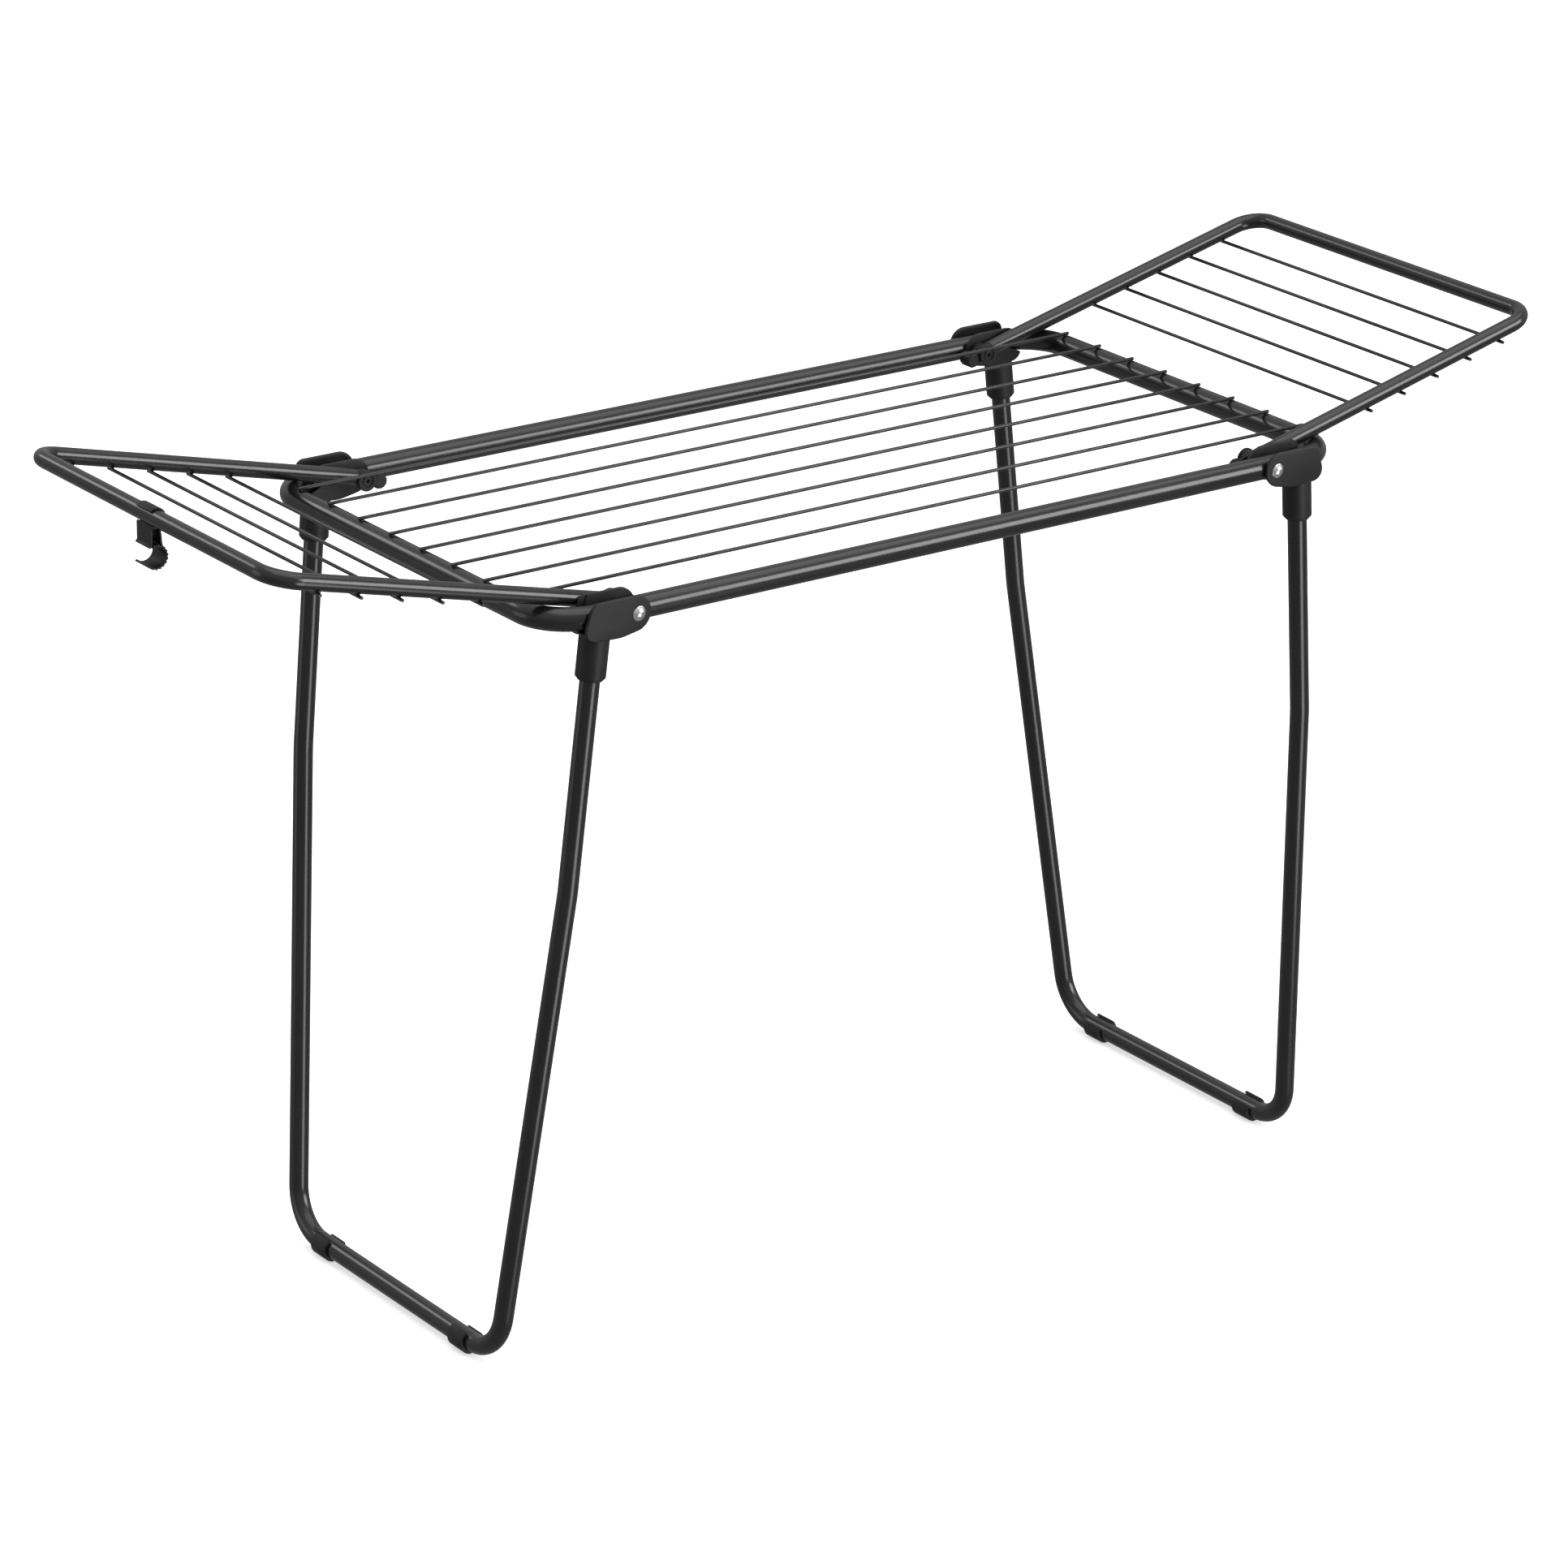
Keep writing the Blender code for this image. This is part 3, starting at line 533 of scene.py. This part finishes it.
# Wing ends. A plastic plug in the end of each arm carries a boss that turns on the rivet beside the
# bracket, and a ribbed nose past it that grips when the wing is lifted.
boss_r, hole_r, boss_back, boss_face = 0.0105, 0.0033, -0.0098, 0.0125
flange_r, vent_r, groove_deep = boss_r + 0.0014, 0.0020, 0.0012
grip_r, grip_half, grip_rib = 0.0082, 0.0090, 0.0007
for side in ("left", "right"):
    for end in ("front", "back"):
        bm = bmesh.new()
        root = Vector((0, 0, 0))
        boss = [(hole_r, boss_back), (boss_r - 0.0008, boss_back), (boss_r, boss_back + 0.0008),
                (boss_r, boss_face - 0.0036), (flange_r, boss_face - 0.0030), (flange_r, boss_face - 0.0009),
                (flange_r - 0.0009, boss_face), (0.0078, boss_face), (0.0074, boss_face - 0.0003)]
        boss += [(0.0072, boss_face - groove_deep), (0.0056, boss_face - groove_deep),
                 (0.0054, boss_face - 0.0002), (0.0050, boss_face)]
        boss += [(vent_r + 0.0004, boss_face), (vent_r, boss_face - 0.0004), (vent_r, boss_face - 0.0030),
                 (hole_r, boss_face - 0.0030), (hole_r, boss_back)]
        turned(bm, boss, root, along_y, closed=False)
        lift = Vector((0, 0, wing_raise))
        turned(bm, [(0.0, 0.004), (0.0086, 0.004), (0.0091, 0.0072), (0.0093, 0.0080), (0.0093, 0.0103),
                    (0.0088, 0.0108), (0.0, 0.0108)], root + lift, -along_x)
        plate(bm, [(0.004, -0.0066, 0), (0.018, -0.0052, 0), (0.018, 0.0052, 0), (0.004, 0.0066, 0)],
              -0.0072, 0.0078, 0.0010)
        plate(bm, [(0.006, 0.0040, 0), (0.017, 0.0040, 0), (0.017, 0.0078, 0.001), (0.006, 0.0092, 0.001)],
              -0.0012, 0.0012, 0.0003)
        nose = Vector((0.0195, 0, 0))
        rim = [(grip_r - 0.0012, grip_half), (grip_r - 0.0002, grip_half - 0.0007),
               (grip_r, grip_half - 0.0018)]
        grip = [(0.0, -grip_half)] + [(r, -y) for r, y in rim]
        turned(bm, grip + list(reversed(rim)) + [(0.0, grip_half)], nose, along_y)
        ribs = [face for face in bm.faces if abs(face.normal.y) < 0.2
                and abs((face.calc_center_median() - nose).xz.length - grip_r) < 0.0002
                and face.calc_area() > 0.000010]
        ribs.sort(key=lambda face: atan2(*(face.calc_center_median() - nose).xz))
        raised = [face for k, face in enumerate(ribs) if k % 4 < 2]
        grown = bmesh.ops.extrude_face_region(bm, geom=raised)["geom"]
        for vert in {item for item in grown if isinstance(item, bmesh.types.BMVert)}:
            away = Vector((vert.co.x - nose.x, 0, vert.co.z - nose.z)).normalized()
            vert.co += away * grip_rib
        bmesh.ops.delete(bm, geom=raised, context="FACES_ONLY")
        bmesh.ops.rotate(bm, cent=(0, 0, 0), matrix=Matrix.Rotation(wing_slope, 3, "Y"), verts=bm.verts)
        settle(bm, side, end, wing_half)
        node = "%s_wing_end_%s" % (side, end)
        finished(bm, "%s_arm_end_%s" % (side, end), plastic, side + "_wing", node, crisp=32)

# Hook. A plastic band is sprung over the middle of the left wing's outer tube, open on the outside. A
# short lipped plate and an arm hang from under it, and the arm ends in a ribbed spring clip.
hook_low, hook_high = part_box("wing_hook")
hook_half = (hook_high.y - hook_low.y) / 2
tube_spot = wing_spot("left", wing_arm, 0, 0)
strap, band_r = 0.0020, 0.0105


def strap_run(bm, x, z, heading):
    """Start a flat strap in the X-Z plane, heading this many degrees up from +X."""
    way = Vector((cos(radians(heading)), 0, sin(radians(heading))))
    spot = Vector((x, 0, z))
    side = way.cross(along_y) * strap / 2
    verts = [bm.verts.new(spot + s * side + t * hook_half * along_y)
             for s, t in ((-1, -1), (1, -1), (1, 1), (-1, 1))]
    return Run(bm, [bm.edges.new((verts[k], verts[(k + 1) % 4])) for k in range(4)], spot, way)


bm = bmesh.new()
band_from, band_to = -130, 132
band = strap_run(bm, band_r * cos(radians(band_from)), band_r * sin(radians(band_from)), band_from + 90)
band.bend(band_r, radians(band_to - band_from), -along_y, radians(7))
lipped = strap_run(bm, -0.0092, -0.0312, 40)
lipped.straight(0.0022)
lipped.bend(0.0030, radians(50), -along_y, radians(10))
lipped.straight(-0.0090 - lipped.spot.z)
arm = strap_run(bm, 0.0034, -0.0098, -82)
arm.straight(0.0085)
arm.bend(0.030, radians(8), along_y, radians(4))
arm.bend(0.030, radians(14), -along_y, radians(4))
arm.straight(0.0024)
bmesh.ops.holes_fill(bm, edges=[edge for edge in bm.edges if edge.is_boundary])
clip_mid = Vector((-0.0006, 0, -0.0424))
clip_outer, clip_inner, clip_rib = 0.0129, 0.0112, 0.0009
mouth, wrap = radians(116), radians(252.5)
before = set(bm.faces)
section = [bm.verts.new(clip_mid + Vector((r * cos(mouth), y, r * sin(mouth))))
           for r, y in ((clip_inner, -hook_half), (clip_outer, -hook_half), (clip_outer, hook_half),
                        (clip_inner, hook_half))]
bmesh.ops.spin(bm, geom=[bm.faces.new(section)], cent=clip_mid, axis=along_y, angle=wrap, steps=52)
bmesh.ops.recalc_face_normals(bm, faces=bm.faces)
outside = [face for face in bm.faces if face not in before and abs(face.normal.y) < 0.2
           and (face.calc_center_median() - clip_mid).xz.length > clip_outer - 0.0003]
outside.sort(key=lambda face: (atan2(*(face.calc_center_median() - clip_mid).xz) - pi) % (2 * pi))
raised = [face for k, face in enumerate(outside) if k % 4 < 2]
grown = bmesh.ops.extrude_face_region(bm, geom=raised)["geom"]
for vert in {item for item in grown if isinstance(item, bmesh.types.BMVert)}:
    vert.co += Vector((vert.co.x - clip_mid.x, 0, vert.co.z - clip_mid.z)).normalized() * clip_rib
bmesh.ops.delete(bm, geom=raised, context="FACES_ONLY")
bmesh.ops.recalc_face_normals(bm, faces=bm.faces)
corners = [edge for edge in bm.edges if len(edge.link_faces) == 2 and edge.calc_face_angle() > radians(60)]
bmesh.ops.bevel(bm, geom=corners, offset=0.0003, segments=2, profile=0.5, affect="EDGES", material=-1)
bmesh.ops.translate(bm, verts=bm.verts, vec=tube_spot)
finished(bm, "wing_tube_hook", plastic, "hook", "wing_hook", crisp=32)

# Studio. A pale floor and sky that only light the view, and five soft lights: a key at the front right,
# a low one for the legs, a fill behind on the left, a weak one at the left side and one overhead.
floor_mesh = bpy.data.meshes.new("floor")
bm = bmesh.new()
bmesh.ops.create_grid(bm, x_segments=1, y_segments=1, size=60)
bm.to_mesh(floor_mesh)
bm.free()
floor = bpy.data.objects.new("studio_floor", floor_mesh)
bpy.context.scene.collection.objects.link(floor)
floor.visible_diffuse = False
floor.visible_glossy = False
floor.visible_shadow = False
floor_paint, place, surface = new_finish("pale_floor")
give(surface, Base_Color=place.noise(1.5, 2.0).mixed((0.90, 0.90, 0.90), (0.92, 0.92, 0.92)))
surface.inputs["Roughness"].default_value = 0.9
surface.inputs["Specular IOR Level"].default_value = 0.1
surface.inputs["Emission Color"].default_value = (1, 1, 1, 1)
surface.inputs["Emission Strength"].default_value = 0.5
floor_mesh.materials.append(floor_paint)

world = bpy.data.worlds.new("studio")
world.use_nodes = True
tree = world.node_tree
sky = Socket(tree, None).node("TexCoord", {}, {}, "Generated")
height = sky.node("SeparateXYZ", {}, {"Vector": sky}, "Z")
seen = sky.node("LightPath", {}, {}, "Is Camera Ray")
low_glow, rise_glow, seen_glow = 0.30, 0.45, 1.1
fill = low_glow + height.ramp(-0.2, 0.9) * rise_glow
feed(tree, tree.nodes["Background"].inputs["Strength"], fill + seen * (seen_glow - fill))
tree.nodes["Background"].inputs["Color"].default_value = (1, 1, 1, 1)
bpy.context.scene.world = world
bpy.context.scene.view_settings.view_transform = "Standard"
target = Vector((0, 0, 0.6))


def softbox(name, turn, rise, wide, tall, glow, distance=9.0):
    """Rectangular light by its direction and angular size from the rack, in degrees."""
    lamp = bpy.data.lights.new(name, "AREA")
    lamp.shape = "RECTANGLE"
    lamp.size, lamp.size_y = (2 * distance * tan(radians(angle / 2)) for angle in (wide, tall))
    lamp.energy = glow * pi * lamp.size * lamp.size_y
    holder = bpy.data.objects.new(name, lamp)
    bpy.context.scene.collection.objects.link(holder)
    away = Vector((sin(radians(turn)) * cos(radians(rise)), -cos(radians(turn)) * cos(radians(rise)),
                   sin(radians(rise))))
    holder.location = target + away * distance
    holder.rotation_euler = (-away).to_track_quat("-Z", "Y").to_euler()


softbox("key_front_right", 39, 19, 36, 26, 6.8)
softbox("low_front", 11, -21, 25, 30, 4.2)
softbox("fill_back_left", -157, 31, 16, 12, 3.7)
softbox("side_left", -118, 4, 26, 34, 0.9)
softbox("overhead", 60, 80, 60, 60, 1.2)

# Camera. A long lens from the front left, a little above the rack, held almost level. It stands off
# from the point midway between the two crossbars, at their height.
turn, rise, roll = -0.62583, 0.36468, 0.01166
back = Vector((sin(turn) * cos(rise), -cos(turn) * cos(rise), sin(rise)))
right = up.cross(back).normalized()
over = back.cross(right)
right, over = cos(roll) * right + sin(roll) * over, cos(roll) * over - sin(roll) * right
lens = bpy.data.cameras.new("camera")
lens.lens = 142.10
lens.sensor_width = 36.0
camera = bpy.data.objects.new("camera", lens)
bpy.context.scene.collection.objects.link(camera)
middle = Vector(((pivots["left"].x + pivots["right"].x) / 2, 0, crossbar_z))
camera.matrix_world = Matrix((right, over, back)).transposed().to_4x4()
camera.location = middle + right * -0.0195 + over * 0.45034 + back * 7.15859
bpy.context.scene.camera = camera
